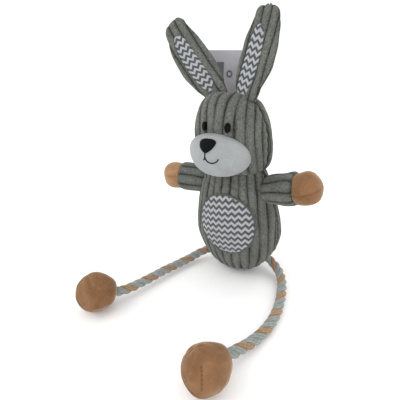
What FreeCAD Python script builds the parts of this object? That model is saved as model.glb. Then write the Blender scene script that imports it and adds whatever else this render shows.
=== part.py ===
import FreeCAD, Part
import math
import os

# Sitting plush rabbit with rope legs. Millimetres, +Z up, the toy faces -Y, its left side is +X.
# The origin is the middle of the flat seat, on the floor.

V = FreeCAD.Vector
doc = FreeCAD.newDocument("rope_leg_rabbit")
sheet = doc.addObject("Spreadsheet::Sheet", "dims")
row = 0
value = {}


def dim(name, number, note=""):
    """One named size in the spreadsheet."""
    global row
    row += 1
    sheet.set("A%d" % row, name)
    sheet.set("B%d" % row, str(number))
    sheet.set("C%d" % row, note)
    sheet.setAlias("B%d" % row, name)
    value[name] = float(number)


# ---------------------------------------------------------------- sizes
dim("cover_thick", 1.4, "corduroy cover")
dim("fill_gap", 0.35, "between a cover and its stuffing")
dim("pad_thick", 1.2, "sewn-on fabric pads")
dim("seam_width", 1.6, "border stitching around the belly pad")
dim("big", 400.0, "side of a cutting block")
dim("lean", 7.3, "forward lean of the body, degrees")
dim("rope_rad", 4.0, "rope legs")
dim("knuckle_gap", 0.35, "between two stretches of rope at a bend")
dim("foot_rad", 15.9, "stuffed foot")
dim("foot_long", 16.5, "half of the foot along the rope")
dim("squeak_rad", 13.0, "squeaker bellows")
dim("squeak_high", 10.0)
dim("squeak_wall", 0.9)
dim("squeak_z", 50.0)
dim("reed_rad", 3.0)
dim("reed_high", 5.0)
dim("tag_wide", 42.0)
dim("tag_high", 33.0)
dim("tag_thick", 0.6)
dim("tag_hole_rad", 1.3)
dim("tag_hole_in", 5.5, "hole from the card's side and top")
dim("loop_rad", 0.6)

# Cross-sections, bottom to top: height, half width, half depth, depth of the middle.
SECTIONS = {
    "body": [
        (0.0, 22.0, 18.0, 0.0),
        (7.0, 32.5, 26.0, -1.5),
        (22.0, 38.8, 31.0, -3.6),
        (44.0, 40.2, 32.0, -6.0),
        (66.0, 37.6, 29.6, -8.6),
        (86.0, 33.0, 26.0, -11.2),
        (98.0, 28.5, 22.6, -13.0),
        (104.0, 23.5, 18.6, -14.0),
    ],
    "head": [
        (110.0, 20.0, 16.0, -15.5),
        (115.0, 26.0, 22.0, -17.2),
        (128.0, 31.0, 27.6, -20.0),
        (145.0, 31.4, 28.8, -22.4),
        (157.0, 27.4, 25.4, -24.2),
        (165.0, 19.0, 18.0, -25.4),
        (169.0, 9.0, 8.6, -26.0),
    ],
    "arm": [
        (0.0, 7.0, 7.0, 0.0),
        (5.0, 9.8, 9.8, 0.0),
        (13.0, 12.4, 12.4, 0.0),
        (22.0, 13.3, 13.3, 0.0),
        (31.0, 12.0, 12.0, 0.0),
        (37.0, 7.6, 7.6, 0.0),
        (39.5, 2.4, 2.4, 0.0),
    ],
    "ear": [
        (-4.0, 6.4, 3.0, 0.0),
        (0.0, 8.6, 3.8, 0.0),
        (12.0, 10.8, 4.3, 0.0),
        (30.0, 12.4, 4.5, 0.0),
        (46.0, 10.6, 4.0, 0.0),
        (55.0, 6.8, 2.9, 0.0),
        (60.0, 2.4, 1.2, 0.0),
    ],
}
for kind, rings in SECTIONS.items():
    for number, (height, wide, deep, middle) in enumerate(rings, 1):
        dim("%s_height%d_" % (kind, number), height)
        dim("%s_wide%d_" % (kind, number), wide)
        dim("%s_deep%d_" % (kind, number), deep)
        dim("%s_mid%d_" % (kind, number), middle)

# Rounded solids: half sizes and centres.
dim("muzzle_wide", 27.5)
dim("muzzle_deep", 20.5)
dim("muzzle_tall", 17.5)
dim("muzzle_y", -42.0)
dim("muzzle_z", 124.5)
dim("nose_wide", 8.6)
dim("nose_deep", 3.4)
dim("nose_tall", 6.6)
dim("nose_y", -58.0)
dim("nose_z", 134.8)
dim("eye_wide", 3.1)
dim("eye_deep", 2.2)
dim("eye_tall", 4.6)
dim("eye_x", 10.2)
dim("eye_y", -49.6)
dim("eye_z", 146.0)
dim("lip_rad", 6.6, "each half of the smile")
dim("lip_line", 0.6, "half width of the stitched line")
dim("lip_z", 124.4)
dim("lip_proud", 0.6)
dim("lip_drop", 4.6, "stitched line from the nose to the lip")
dim("belly_wide", 26.0)
dim("belly_tall", 28.5)
dim("belly_z", 60.0)
dim("lining_wide", 6.4)
dim("lining_tall", 24.0)
dim("lining_z", 27.0)
dim("lining_thick", 0.8)
dim("paw_seam", 15.0, "where the sleeve meets the paw cap")
dim("inner_end", 1.4)
doc.recompute()


# ---------------------------------------------------------------- building blocks
def solid(kind, name, place=None, **sizes):
    """A primitive whose sizes are spreadsheet expressions."""
    thing = doc.addObject(kind, name)
    for key, text in sizes.items():
        thing.setExpression(key, text)
    if place is not None:
        thing.Placement = place
    return thing


def move(thing, **where):
    for key, text in where.items():
        thing.setExpression("Placement.Base.%s" % key, text)
    return thing


def cut(name, base, tool):
    thing = doc.addObject("Part::Cut", name)
    thing.Base = base
    thing.Tool = tool
    return thing


def common(name, *shapes):
    thing = doc.addObject("Part::MultiCommon", name)
    thing.Shapes = list(shapes)
    return thing


def fuse(name, *shapes):
    thing = doc.addObject("Part::MultiFuse", name)
    thing.Shapes = list(shapes)
    return thing


def skin(name, kind, grow="0", close="0"):
    """A smooth solid through the cross-sections of one kind, grown sideways and shortened at its ends."""
    rings = []
    last = len(SECTIONS[kind])
    for number in range(1, last + 1):
        ring = doc.addObject("Part::Ellipse", "%s_ring%d" % (name, number))
        ring.setExpression("MajorRadius", "dims.%s_wide%d_ + %s" % (kind, number, grow))
        ring.setExpression("MinorRadius", "dims.%s_deep%d_ + %s" % (kind, number, grow))
        ring.setExpression("Placement.Base.y", "dims.%s_mid%d_" % (kind, number))
        shift = "0"
        if number == 1:
            shift = close
        if number == last:
            shift = "-(%s)" % close
        ring.setExpression("Placement.Base.z", "dims.%s_height%d_ + %s" % (kind, number, shift))
        rings.append(ring)
    thing = doc.addObject("Part::Loft", name)
    thing.Sections = rings
    thing.Solid = True
    thing.Ruled = False
    return thing


def half_space(name, place):
    """A large block whose +Y face passes through the given place."""
    block = solid("Part::Box", name, Length="dims.big", Width="dims.big", Height="dims.big")
    side = value["big"]
    block.Placement = place.multiply(FreeCAD.Placement(V(-side / 2, -side, -side / 2), FreeCAD.Rotation()))
    return block


def oval_bar(name, wide, tall, height):
    """An oval bar along Y, used to cut an oval out of a curved skin."""
    oval = solid("Part::Ellipse", name + "_oval", MajorRadius=tall, MinorRadius=wide)
    upright = FreeCAD.Rotation(V(0, 0, 1), V(1, 0, 0), V(0, 1, 0), "ZXY")
    oval.Placement = FreeCAD.Placement(V(0, 0, 0), upright)
    move(oval, z=height)
    bar = doc.addObject("Part::Extrusion", name)
    bar.Base = oval
    bar.DirMode = "Custom"
    bar.Dir = V(0, -1, 0)
    bar.setExpression("LengthFwd", "dims.big")
    bar.Solid = True
    return bar


finished = {}


def node(name, thing, place=None):
    """Keep a finished sub-part under its own name."""
    thing.Label = name
    if place is not None:
        thing.Placement = place
    finished[name] = thing
    return thing


# ---------------------------------------------------------------- body
def tilted(height_y):
    """The seam plane between front and back, leaning with the body."""
    return FreeCAD.Placement(V(0, height_y, 0), FreeCAD.Rotation(V(1, 0, 0), value["lean"]))


SEAM_Y = 1.5

body_outer = skin("body_outer", "body")
body_hollow = skin("body_hollow", "body", "-dims.cover_thick", "dims.cover_thick")
body_fill = skin("body_fill", "body", "-dims.cover_thick - dims.fill_gap", "dims.cover_thick + dims.fill_gap")
body_shell = cut("body_shell", body_outer, body_hollow)
body_front_side = half_space("body_front_side", tilted(SEAM_Y))

# Rope ends are sewn into the lower corners of the body, so the cover has a hole for each.


def unit(a, b):
    way = b.sub(a)
    way.normalize()
    return way


def route(points):
    """Straight runs joined by tangent arcs."""
    edges = []
    start = points[0]
    for before, corner, after in zip(points, points[1:], points[2:]):
        incoming = unit(before, corner)
        outgoing = unit(corner, after)
        turn = incoming.getAngle(outgoing)
        shorter = min(corner.distanceToPoint(before), corner.distanceToPoint(after))
        reach = 0.45 * shorter
        radius = reach / math.tan(turn / 2)
        print("arc radius", round(radius, 1))
        enter = corner.sub(incoming * reach)
        leave = corner.add(outgoing * reach)
        inward = outgoing.sub(incoming)
        inward.normalize()
        centre = corner.add(inward * (radius / math.cos(turn / 2)))
        middle = centre.sub(inward * radius)
        edges.append(Part.LineSegment(start, enter).toShape())
        edges.append(Part.Arc(enter, middle, leave).toShape())
        start = leave
    edges.append(Part.LineSegment(start, points[-1]).toShape())
    return Part.Wire(edges)


def tube(name, points, round_end, hollow_start):
    """A stretch of rope: its start is cupped around the last stretch's round end."""
    radius = value["rope_rad"]
    wire = route(points)
    section = Part.Wire(Part.makeCircle(radius, points[0], unit(points[0], points[1])))
    shape = wire.makePipeShell([section], True, False)
    print(name, "length", round(wire.Length, 1), "volume share",
          round(shape.Volume / (math.pi * radius * radius * wire.Length), 3))
    if round_end:
        shape = shape.fuse(Part.makeSphere(radius, points[-1])).removeSplitter()
    if hollow_start:
        shape = shape.cut(Part.makeSphere(radius + value["knuckle_gap"], points[0]))
    thing = doc.addObject("Part::Feature", name)
    thing.Shape = shape
    thing.Placement = FreeCAD.Placement()
    return thing


# Rope legs: points along each, from inside the body, through hip, knee and ankle, into the foot.
LEGS = {
    "left": {
        "root": [V(20.0, 8.7, 14.0), V(38.6, 2.6, 7.6)],
        "upper": [V(38.6, 2.6, 7.6), V(50.0, -12.0, 5.2), V(57.4, -33.0, 4.3), V(61.8, -54.0, 4.3)],
        "lower": [V(61.8, -54.0, 4.3), V(62.0, -73.0, 4.3), V(58.4, -93.0, 5.4), V(51.4, -114.4, 9.8)],
        "foot": V(47.9, -134.6, 15.9),
    },
    "right": {
        "root": [V(-16.0, 8.0, 15.0), V(-37.5, -11.5, 8.2)],
        "upper": [V(-37.5, -11.5, 8.2), V(-43.0, -28.0, 5.4), V(-47.4, -47.0, 4.3), V(-51.2, -64.0, 4.3)],
        "lower": [V(-51.2, -64.0, 4.3), V(-54.0, -82.0, 4.3), V(-57.2, -96.0, 5.8), V(-60.0, -108.4, 8.4)],
        "foot": V(-69.0, -125.6, 15.9),
    },
}
TAIL_IN = 14.0

roots = []
for side, leg in LEGS.items():
    root = tube(side + "_rope_root_tube", leg["root"], True, False)
    roots.append(root)
    node(side + "_rope_root", root)
body_shell_open = cut("body_shell_open", body_shell, fuse("rope_openings", *roots))
node("body_front_panel", common("body_front_cut", body_shell_open, body_front_side))
node("body_back_panel", cut("body_back_cut", body_shell_open, body_front_side))

squeaker_space = solid("Part::Cylinder", "squeaker_space", Radius="dims.squeak_rad + dims.fill_gap",
                       Height="dims.squeak_high + 2 * dims.fill_gap")
move(squeaker_space, y="dims.body_mid4_", z="dims.squeak_z - dims.fill_gap")
squeaker_outer = solid("Part::Cylinder", "squeaker_outer", Radius="dims.squeak_rad",
                       Height="dims.squeak_high")
move(squeaker_outer, y="dims.body_mid4_", z="dims.squeak_z")
squeaker_inner = solid("Part::Cylinder", "squeaker_inner", Radius="dims.squeak_rad - dims.squeak_wall",
                       Height="dims.squeak_high - 2 * dims.squeak_wall")
move(squeaker_inner, y="dims.body_mid4_", z="dims.squeak_z + dims.squeak_wall")
node("squeaker_shell", cut("squeaker_shell_cut", squeaker_outer, squeaker_inner))
reed = solid("Part::Cylinder", "reed_block", Radius="dims.reed_rad", Height="dims.reed_high")
move(reed, y="dims.body_mid4_", z="dims.squeak_z + dims.squeak_wall")
node("squeaker_reed", reed)

root_spaces = []
for side, leg in LEGS.items():
    inner_end, hip = leg["root"]
    outward = unit(inner_end, hip)
    root_space = solid("Part::Cylinder", side + "_root_space", Radius="dims.rope_rad + dims.fill_gap",
                       Height="dims.big / 8")
    root_space.Placement = FreeCAD.Placement(inner_end.sub(outward), FreeCAD.Rotation(V(0, 0, 1), outward))
    root_spaces.append(root_space)
fill_open = cut("fill_open", body_fill, squeaker_space)
node("body_stuffing", cut("body_stuffing_cut", fill_open, fuse("root_space", *root_spaces)))

belly_lift = skin("belly_lift", "body", "dims.pad_thick")
belly_layer = cut("belly_layer", belly_lift, body_outer)
belly_bar = oval_bar("belly_bar", "dims.belly_wide", "dims.belly_tall", "dims.belly_z")
node("belly_patch", common("belly_patch_cut", belly_layer, belly_bar))
edge_bar = oval_bar("edge_bar", "dims.belly_wide + dims.seam_width", "dims.belly_tall + dims.seam_width",
                    "dims.belly_z")
edge_lift = skin("edge_lift", "body", "dims.pad_thick * 0.75")
edge_layer = cut("edge_layer", edge_lift, body_outer)
edge_oval = common("edge_oval", edge_layer, edge_bar)
node("belly_patch_stitching", cut("edge_cut", edge_oval, belly_bar))

# ---------------------------------------------------------------- head
head_outer = skin("head_outer", "head")
head_hollow = skin("head_hollow", "head", "-dims.cover_thick", "dims.cover_thick")
head_fill = skin("head_fill", "head", "-dims.cover_thick - dims.fill_gap", "dims.cover_thick + dims.fill_gap")
head_shell = cut("head_shell", head_outer, head_hollow)
head_front_side = half_space("head_front_side", tilted(-3.0))
node("head_front_panel", common("head_front_cut", head_shell, head_front_side))
node("head_back_panel", cut("head_back_cut", head_shell, head_front_side))
node("head_stuffing", head_fill)


def muzzle_ball(name, grow):
    ball = solid("Part::Ellipsoid", name, Radius1="dims.muzzle_tall + %s" % grow,
                 Radius2="dims.muzzle_wide + %s" % grow, Radius3="dims.muzzle_deep + %s" % grow)
    ball.Angle1 = -90
    ball.Angle2 = 90
    return move(ball, y="dims.muzzle_y", z="dims.muzzle_z")


muzzle_outer = muzzle_ball("muzzle_outer", "0")
muzzle_hollow = muzzle_ball("muzzle_hollow", "(-dims.pad_thick)")
muzzle_core = muzzle_ball("muzzle_core", "(-dims.pad_thick - dims.fill_gap)")
muzzle_out = cut("muzzle_out", muzzle_outer, head_outer)
node("muzzle_patch", cut("muzzle_patch_cut", muzzle_out, muzzle_hollow))
node("muzzle_stuffing", cut("muzzle_stuffing_cut", muzzle_core, head_outer))

nose_ball = solid("Part::Ellipsoid", "nose_ball", Radius1="dims.nose_tall", Radius2="dims.nose_wide",
                  Radius3="dims.nose_deep")
move(nose_ball, y="dims.nose_y", z="dims.nose_z")
node("nose", cut("nose_cut", nose_ball, muzzle_outer))

eye_ball = solid("Part::Ellipsoid", "eye_ball", Radius1="dims.eye_tall", Radius2="dims.eye_wide",
                 Radius3="dims.eye_deep")
move(eye_ball, x="dims.eye_x", y="dims.eye_y", z="dims.eye_z")
left_eye = cut("left_eye_cut", eye_ball, head_outer)
node("left_eye", left_eye)
right_eye = doc.addObject("Part::Mirroring", "right_eye_mirror")
right_eye.Source = left_eye
right_eye.Normal = V(1, 0, 0)
node("right_eye", right_eye)

# The mouth: a short line down from the nose and two upturned arcs, stitched on the muzzle.
lip_bars = []
for side, sign in (("left", ""), ("right", "-")):
    lip_outer = solid("Part::Cylinder", side + "_lip_outer", Radius="dims.lip_rad + dims.lip_line",
                      Height="dims.big / 4")
    lip_inner = solid("Part::Cylinder", side + "_lip_inner", Radius="dims.lip_rad - dims.lip_line",
                      Height="dims.big / 4")
    for bar in (lip_outer, lip_inner):
        bar.Placement = FreeCAD.Placement(V(0, 0, 0), FreeCAD.Rotation(V(1, 0, 0), 90))
        move(bar, x=sign + "dims.lip_rad", z="dims.lip_z")
    lip_ring = cut(side + "_lip_ring", lip_outer, lip_inner)
    lower = solid("Part::Box", side + "_lip_lower", Length="dims.lip_rad * 3", Width="dims.big / 4",
                  Height="dims.lip_rad * 2")
    move(lower, x="%sdims.lip_rad - dims.lip_rad * 1.5" % sign, y="-dims.big / 4",
         z="dims.lip_z - dims.lip_rad * 2")
    lip_bars.append(common(side + "_lip_bar", lip_ring, lower))
drop_bar = solid("Part::Box", "drop_bar", Length="dims.lip_line * 2", Width="dims.big / 4",
                 Height="dims.lip_drop")
move(drop_bar, x="-dims.lip_line", y="-dims.big / 4", z="dims.lip_z - dims.lip_line")
lip_mask = fuse("lip_mask", drop_bar, *lip_bars)
lip_lift = muzzle_ball("lip_lift", "dims.lip_proud")
lip_layer = cut("lip_layer", lip_lift, muzzle_outer)
lip_line = common("lip_line", lip_layer, lip_mask)
lip_clear = fuse("lip_clear", nose_ball, head_outer)
node("mouth_stitching", cut("mouth_cut", lip_line, lip_clear))


# ---------------------------------------------------------------- ears
def aim(where, along, facing):
    """A place whose +Z runs along a direction and whose -Y turns towards another."""
    up = V(along)
    up.normalize()
    side = facing.cross(up)
    side.normalize()
    back = up.cross(side)
    matrix = FreeCAD.Matrix(side.x, back.x, up.x, where.x,
                            side.y, back.y, up.y, where.y,
                            side.z, back.z, up.z, where.z,
                            0, 0, 0, 1)
    return FreeCAD.Placement(matrix)


EARS = {
    "left": (V(15.5, -25.0, 172.6), V(6.0, 15.0, 57.0), V(0.15, 1.0, 0.0)),
    "right": (V(-15.5, -25.0, 172.6), V(-35.0, -5.0, 50.0), V(-0.25, 1.0, 0.0)),
}
for side, (pivot, along, back) in EARS.items():
    place = aim(pivot, along, back)
    outer = skin(side + "_ear_outer", "ear")
    front_half = half_space(side + "_ear_front_half", FreeCAD.Placement())
    lining_bar = oval_bar(side + "_lining_bar", "dims.lining_wide", "dims.lining_tall", "dims.lining_z")
    inset = skin(side + "_ear_inset", "ear", "-dims.lining_thick", "dims.lining_thick")
    layer = cut(side + "_ear_layer", outer, inset)
    lining = common(side + "_lining_cut", layer, lining_bar)
    front = common(side + "_ear_front_cut", outer, front_half)
    node(side + "_ear_lining", lining, place)
    lining_tool = common(side + "_lining_tool", layer, lining_bar)
    node(side + "_ear_front", cut(side + "_ear_front_open", front, lining_tool), place)
    node(side + "_ear_back", cut(side + "_ear_back_cut", outer, front_half), place)

# ---------------------------------------------------------------- arms
ARMS = {
    "left": (V(39.6, -15.6, 93.6), V(39.0, -5.6, 10.5)),
    "right": (V(-39.6, -16.2, 90.4), V(-40.0, -7.4, 0.8)),
}
for side, (pivot, along) in ARMS.items():
    place = aim(pivot, along, V(0.0, 1.0, 0.0))
    sleeve_side = FreeCAD.Placement(V(0, 0, value["paw_seam"]), FreeCAD.Rotation(V(1, 0, 0), 90))
    outer = skin(side + "_arm_outer", "arm")
    root_ball = solid("Part::Sphere", side + "_arm_root_ball", Radius="dims.arm_wide1_")
    outer_full = fuse(side + "_arm_full", outer, root_ball)
    hollow = skin(side + "_arm_hollow", "arm", "-dims.cover_thick", "dims.inner_end")
    fill = skin(side + "_arm_fill", "arm", "-dims.cover_thick - dims.fill_gap",
                "dims.inner_end + dims.fill_gap")
    shell = cut(side + "_arm_shell", outer_full, hollow)
    beyond = half_space(side + "_arm_beyond", sleeve_side)
    node(side + "_paw_cap", common(side + "_paw_cut", shell, beyond), place)
    node(side + "_arm_sleeve", cut(side + "_sleeve_cut", shell, beyond), place)
    node(side + "_arm_stuffing", fill, place)

# ---------------------------------------------------------------- rope legs and feet
for side, leg in LEGS.items():
    node(side + "_rope_upper", tube(side + "_rope_upper_tube", leg["upper"], True, True))
    node(side + "_rope_lower", tube(side + "_rope_lower_tube", leg["lower"], True, True))
    ankle = leg["lower"][-1]
    centre = leg["foot"]
    inward = unit(ankle, centre)
    tail_points = [ankle, ankle.add(inward * TAIL_IN)]
    tail = tube(side + "_rope_tail_tube", tail_points, False, True)
    node(side + "_rope_tail", tail)
    heading = math.degrees(math.atan2(inward.y, inward.x))
    turn = FreeCAD.Placement(centre, FreeCAD.Rotation(V(0, 0, 1), heading))

    def foot_ball(name, grow):
        ball = solid("Part::Ellipsoid", name, Radius1="dims.foot_rad + %s" % grow,
                     Radius2="dims.foot_long + %s" % grow, Radius3="dims.foot_rad + %s" % grow)
        ball.Angle1 = -90
        ball.Angle2 = 90
        ball.Placement = turn
        return ball

    outer = foot_ball(side + "_foot_outer", "0")
    hollow = foot_ball(side + "_foot_hollow", "(-dims.cover_thick)")
    core = foot_ball(side + "_foot_core", "(-dims.cover_thick - dims.fill_gap)")
    shell = cut(side + "_foot_shell", outer, hollow)
    shell_open = cut(side + "_foot_open", shell, tail)
    inner_half = half_space(side + "_foot_half", turn)
    node(side + "_foot_panel_near", common(side + "_foot_near_cut", shell_open, inner_half))
    node(side + "_foot_panel_far", cut(side + "_foot_far_cut", shell_open, inner_half))
    tail_space = solid("Part::Cylinder", side + "_tail_space", Radius="dims.rope_rad + dims.fill_gap",
                       Height="%s + dims.rope_rad + dims.fill_gap" % TAIL_IN)
    tail_space.Placement = FreeCAD.Placement(ankle, FreeCAD.Rotation(V(0, 0, 1), inward))
    node(side + "_foot_stuffing", cut(side + "_foot_fill_cut", core, tail_space))

# ---------------------------------------------------------------- swing tag
TAG_CORNER = V(-37.0, -4.7, 168.5)
TAG_TURN = 3.0
card = solid("Part::Box", "card", Length="dims.tag_wide", Width="dims.tag_thick", Height="dims.tag_high")
hole = solid("Part::Cylinder", "card_hole", Radius="dims.tag_hole_rad", Height="dims.tag_thick * 8",
             place=FreeCAD.Placement(V(0, 0, 0), FreeCAD.Rotation(V(1, 0, 0), 90)))
move(hole, x="dims.tag_hole_in", y="dims.tag_thick * 4", z="dims.tag_high - dims.tag_hole_in")
tag_place = FreeCAD.Placement(TAG_CORNER, FreeCAD.Rotation(V(0, 1, 0), TAG_TURN))
node("hang_tag", cut("card_cut", card, hole), tag_place)
hole_up = value["tag_high"] - value["tag_hole_in"]
hole_at = tag_place.multVec(V(value["tag_hole_in"], value["tag_thick"] / 2, hole_up))
LOOP_FOOT = V(-6.0, -7.0, 166.2)
loop_points = [
    hole_at.add(V(0.0, -2.4, 0.3)),
    hole_at.add(V(0.3, 3.0, -0.3)),
    LOOP_FOOT.add(V(-6.0, 4.6, -0.5)),
    LOOP_FOOT,
]
loop_wire = Part.makePolygon(loop_points)
loop_way = unit(loop_points[0], loop_points[1])
loop_ring = Part.Wire(Part.makeCircle(value["loop_rad"], loop_points[0], loop_way))
loop = doc.addObject("Part::Feature", "tag_loop_thread")
loop.Shape = loop_wire.makePipeShell([loop_ring], True, False, 2)
loop.Placement = FreeCAD.Placement()
node("tag_loop", loop)

# ---------------------------------------------------------------- check and export
doc.recompute()
for thing in doc.Objects:
    if "Invalid" in thing.State or "Error" in thing.State:
        raise RuntimeError("%s did not compute" % thing.Name)
os.makedirs("parts", exist_ok=True)
for name, thing in finished.items():
    shape = thing.Shape
    if shape.isNull() or not shape.isValid() or len(shape.Solids) < 1:
        raise RuntimeError("%s has no good shape" % name)
    box = shape.BoundBox
    print(name, "solids", len(shape.Solids), "volume", round(shape.Volume, 1),
          "box", [round(n, 1) for n in (box.XMin, box.YMin, box.ZMin, box.XMax, box.YMax, box.ZMax)])
    shape.exportStep("parts/%s.step" % name)
print(len(finished), "sub-parts")
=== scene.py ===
import math

import bpy
import numpy as np
from mathutils import Matrix, Vector
from mathutils.geometry import tessellate_polygon


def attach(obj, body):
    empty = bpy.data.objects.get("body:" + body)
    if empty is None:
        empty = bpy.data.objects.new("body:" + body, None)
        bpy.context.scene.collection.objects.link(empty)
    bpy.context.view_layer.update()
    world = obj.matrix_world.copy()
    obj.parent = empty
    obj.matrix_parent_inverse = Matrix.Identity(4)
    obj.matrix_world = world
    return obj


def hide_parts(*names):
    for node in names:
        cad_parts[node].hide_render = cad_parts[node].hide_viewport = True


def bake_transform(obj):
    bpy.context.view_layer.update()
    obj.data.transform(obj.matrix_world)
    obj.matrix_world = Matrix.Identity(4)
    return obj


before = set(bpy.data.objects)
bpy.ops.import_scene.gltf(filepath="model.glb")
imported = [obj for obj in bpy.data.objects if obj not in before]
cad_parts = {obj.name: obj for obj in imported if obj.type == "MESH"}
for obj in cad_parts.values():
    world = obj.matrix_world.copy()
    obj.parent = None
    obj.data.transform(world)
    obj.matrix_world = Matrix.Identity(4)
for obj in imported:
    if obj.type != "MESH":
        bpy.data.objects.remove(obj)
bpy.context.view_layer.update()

MM = 0.001
TAU = 2 * math.pi


# ---- small maths
def unit(v):
    v = np.asarray(v, float)
    return v / np.maximum(np.linalg.norm(v, axis=-1, keepdims=True), 1e-12)


def clamp(x):
    return np.clip(x, 0, 1)


def fade(x, low, high):
    """0 below low, 1 above high, smooth between."""
    t = clamp((np.asarray(x, float) - low) / (high - low))
    return t * t * (3 - 2 * t)


def curve_through(knots, values, at):
    """A monotone cubic through the knots, so nothing overshoots between them."""
    knots, values, at = (np.asarray(n, float) for n in (knots, values, at))
    step = np.diff(knots)
    slope = np.diff(values) / step
    tangent = np.zeros_like(values)
    same = slope[:-1] * slope[1:] > 0
    w1, w2 = 2 * step[1:] + step[:-1], step[1:] + 2 * step[:-1]
    with np.errstate(divide="ignore", invalid="ignore"):
        mean = (w1 + w2) / (w1 / slope[:-1] + w2 / slope[1:])
    tangent[1:-1] = np.where(same, mean, 0)
    tangent[0], tangent[-1] = slope[0], slope[-1]
    i = np.clip(np.searchsorted(knots, at) - 1, 0, len(step) - 1)
    h, t = step[i], clamp((at - knots[i]) / step[i])
    a, b = values[i], values[i + 1]
    m0, m1 = tangent[i] * h, tangent[i + 1] * h
    return ((2 * t**3 - 3 * t**2 + 1) * a + (t**3 - 2 * t**2 + t) * m0
            + (-2 * t**3 + 3 * t**2) * b + (t**3 - t**2) * m1)


def lumps(points, scale, seed):
    """Smooth, repeatable unevenness between about -1 and 1 at each point."""
    rng = np.random.default_rng(seed)
    total = np.zeros(points.shape[:-1])
    for _ in range(7):
        way = unit(rng.normal(size=3)) * TAU / scale * rng.uniform(0.7, 1.4)
        total += np.sin(points @ way + rng.uniform(0, TAU))
    return total / 3.2


def bell(x, wide):
    return np.exp(-((x / wide) ** 2))


def rounded(x, power):
    """x to a power below 1, keeping its sign: it squares up a circle's sine and cosine."""
    return np.sign(x) * np.abs(x) ** power


def running(steps):
    """How far along each point is, given the steps between points."""
    return np.concatenate([[0], np.cumsum(steps)])


def step_lengths(points):
    return np.linalg.norm(np.diff(points, axis=0), axis=1)


def around_turn(count):
    return np.arange(count) / count * TAU


def on_cloth(across, along):
    """The fact fab: millimetres across and along the cloth at each point."""
    return np.stack(np.broadcast_arrays(np.asarray(across, float), along, 0.0), -1)


def ridge(phase, sharp=2.6):
    """Rounded ribs with narrow grooves: 0 in the groove, 1 along the top. phase counts ribs."""
    t = np.abs(2 * (phase - np.floor(phase)) - 1)
    return clamp(1 - t**sharp) ** 0.62


# ---- meshes
def linked(name, data):
    thing = bpy.data.objects.new(name, data)
    bpy.context.collection.objects.link(thing)
    return thing


def evaluated_points(thing, scale):
    """The points of an object's mesh after its modifiers, divided by scale."""
    found = bpy.data.meshes.new_from_object(thing.evaluated_get(bpy.context.evaluated_depsgraph_get()))
    points = np.array([tuple(v.co) for v in found.vertices]) / scale
    bpy.data.meshes.remove(found)
    return points


def add_object(name, points, faces, facts=None, paint_of=None, hard=None):
    """A mesh object from points in millimetres, with named facts on its points."""
    mesh = bpy.data.meshes.new(name)
    mesh.from_pydata((np.asarray(points) * MM).tolist(), [], faces)
    for key, data in (facts or {}).items():
        data = np.asarray(data, float)
        plain = data.ndim == 1
        layer = mesh.attributes.new(key, "FLOAT" if plain else "FLOAT_VECTOR", "POINT")
        layer.data.foreach_set("value" if plain else "vector", data.ravel())
    if paint_of is not None:
        mesh.polygons.foreach_set("material_index", np.asarray(paint_of, np.int32))
    mesh.shade_smooth()
    if hard is not None:
        edges = np.empty(len(mesh.edges) * 2, np.int32)
        mesh.edges.foreach_get("vertices", edges)
        edges = edges.reshape(-1, 2)
        sharp = mesh.attributes.new("sharp_edge", "BOOLEAN", "EDGE")
        sharp.data.foreach_set("value", hard[edges[:, 0]] & hard[edges[:, 1]])
    mesh.update()
    return linked(name, mesh)


def rings_mesh(grid, facts=None, closed=False):
    """Points, faces and facts of rings of points, grid[ring, around]: capped, or joined end to end."""
    rings, around = grid.shape[:2]
    j = np.arange(around)
    k = (j + 1) % around
    rows = np.arange(rings if closed else rings - 1)[:, None]
    a, b = rows * around, (rows + 1) % rings * around
    faces = np.stack([a + j, a + k, b + k, b + j], -1).reshape(-1, 4).tolist()
    points = grid.reshape(-1, 3)
    full = {key: np.asarray(data, float).reshape(rings * around, -1)
            for key, data in (facts or {}).items()}
    if not closed:
        low, high = rings * around, rings * around + 1
        top = (rings - 1) * around
        faces += np.stack([k, j, np.full(around, low)], -1).tolist()
        faces += np.stack([top + j, top + k, np.full(around, high)], -1).tolist()
        points = np.vstack([points, grid[0].mean(0), grid[-1].mean(0)])
        full = {key: np.vstack([flat, flat[:around].mean(0), flat[-around:].mean(0)])
                for key, flat in full.items()}
    return points, faces, {key: flat[:, 0] if flat.shape[1] == 1 else flat for key, flat in full.items()}


def together(name, parts, materials, hard_rings=None):
    """One object from several meshes that rings_mesh made. Each takes the material in its place."""
    points, faces, paint_of, facts, start = [], [], [], {}, 0
    for number, (some, some_faces, some_facts) in enumerate(parts):
        points.append(some)
        faces += [[n + start for n in face] for face in some_faces]
        paint_of += [min(number, len(materials) - 1)] * len(some_faces)
        for key, data in some_facts.items():
            facts.setdefault(key, []).append(data)
        start += len(some)
    hard = None
    if hard_rings is not None:
        hard = np.concatenate([hard_rings(len(some)) for some, _, _ in parts])
    joined = {key: np.concatenate(data) for key, data in facts.items()}
    return dress(add_object(name, np.vstack(points), faces, joined, paint_of, hard), *materials)


def closed_grid(name, grid, facts=None):
    return add_object(name, *rings_mesh(grid, facts))


def grid_normals(grid):
    """Outward directions on rings of points that go round anticlockwise seen from the far end."""
    along = np.gradient(grid, axis=0)
    round_ = (np.roll(grid, -1, 1) - np.roll(grid, 1, 1)) / 2
    return unit(np.cross(round_, along))


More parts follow.
